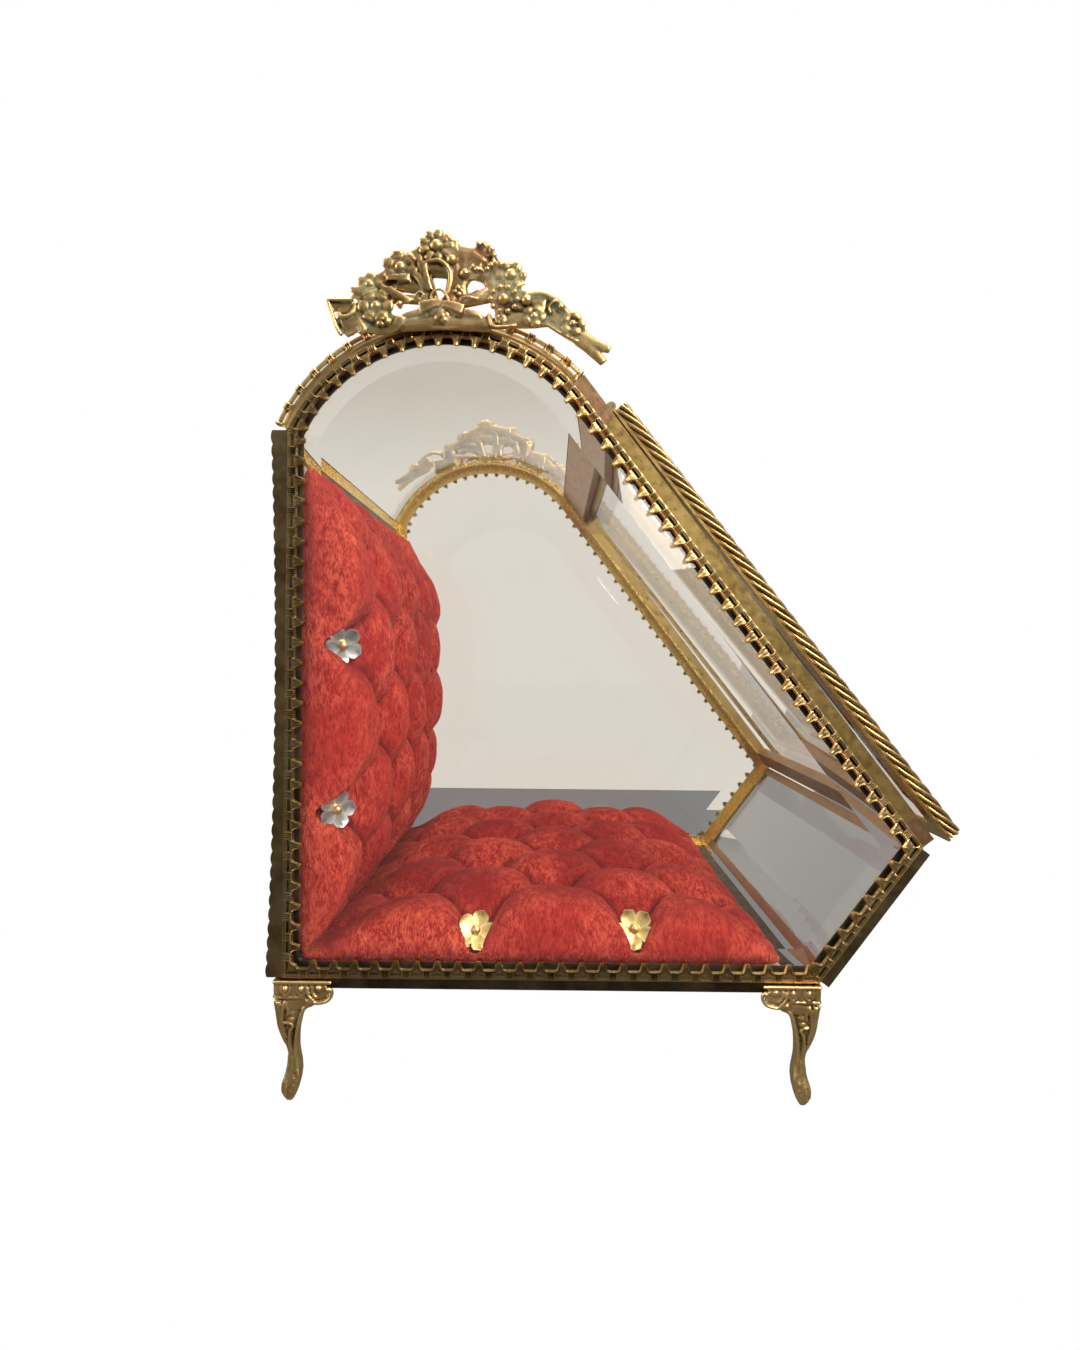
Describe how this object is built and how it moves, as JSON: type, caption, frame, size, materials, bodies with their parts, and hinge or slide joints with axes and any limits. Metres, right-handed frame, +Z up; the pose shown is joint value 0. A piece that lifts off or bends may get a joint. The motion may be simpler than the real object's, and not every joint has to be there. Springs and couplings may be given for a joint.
{
  "type": "glazed keepsake casket",
  "caption": "Gilt brass and bevelled glass casket with an arched top, a sloping hinged door, tufted velvet lining, flower crests and cabriole legs.",
  "frame": {"origin": "on the floor under the middle of the whole casket", "axes": "+X from the upright back towards the door, +Y across the casket, +Z up"},
  "size_m": [0.206, 0.176, 0.2581],
  "materials": {
    "gilt_brass": "aged gilding, bright on the edges, dark and greenish in the recesses",
    "bevelled_glass": "clear polished plate glass with wide bevels",
    "red_velvet": "coral red velvet with a pale sheen",
    "lining_board": "thin board, hidden by the lining",
    "stud_metal": "pressed petals, worn to silver, with a gold ball",
    "hinge_steel": "plain drawn wire"
  },
  "bodies": {
    "case": {"near_side_frame": "gilt_brass", "far_side_frame": "gilt_brass", "near_crest": "gilt_brass", "far_crest": "gilt_brass", "near_gallery": "gilt_brass", "far_gallery": "gilt_brass", "near_arch_band": "gilt_brass", "far_arch_band": "gilt_brass", "hinge_rail": "gilt_brass", "front_rail": "gilt_brass", "near_slope_band": "gilt_brass", "far_slope_band": "gilt_brass", "front_top_rail": "gilt_brass", "front_bottom_rail": "gilt_brass", "back_bottom_rail": "gilt_brass", "back_top_rail": "gilt_brass", "back_plate": "gilt_brass", "near_back_band": "gilt_brass", "far_back_band": "gilt_brass", "near_front_band": "gilt_brass", "far_front_band": "gilt_brass", "base_plate": "gilt_brass", "near_back_leg": "gilt_brass", "near_front_leg": "gilt_brass", "far_front_leg": "gilt_brass", "far_back_leg": "gilt_brass", "case_hinge": "gilt_brass", "near_side_glass": "bevelled_glass", "far_side_glass": "bevelled_glass", "top_glass": "bevelled_glass", "front_glass": "bevelled_glass", "seat_cushion": "red_velvet", "back_cushion": "red_velvet", "seat_board": "lining_board", "back_board": "lining_board", "seat_flower_studs": "stud_metal", "back_flower_studs": "stud_metal", "hinge_pin": "hinge_steel"},
    "door": {"door_frame": "gilt_brass", "door_glass": "bevelled_glass", "door_near_rope": "gilt_brass", "door_far_rope": "gilt_brass", "door_top_rope": "gilt_brass", "door_bottom_rope": "gilt_brass", "door_rest_lip": "gilt_brass", "door_hinge": "gilt_brass"}
  },
  "joints": [
    {"name": "door_swing", "type": "hinge", "parent": "case", "child": "door", "pos_m": [-0.00225, 0, 0.20831], "axis": [0, -1, 0], "range_deg": [0, 100]}
  ]
}
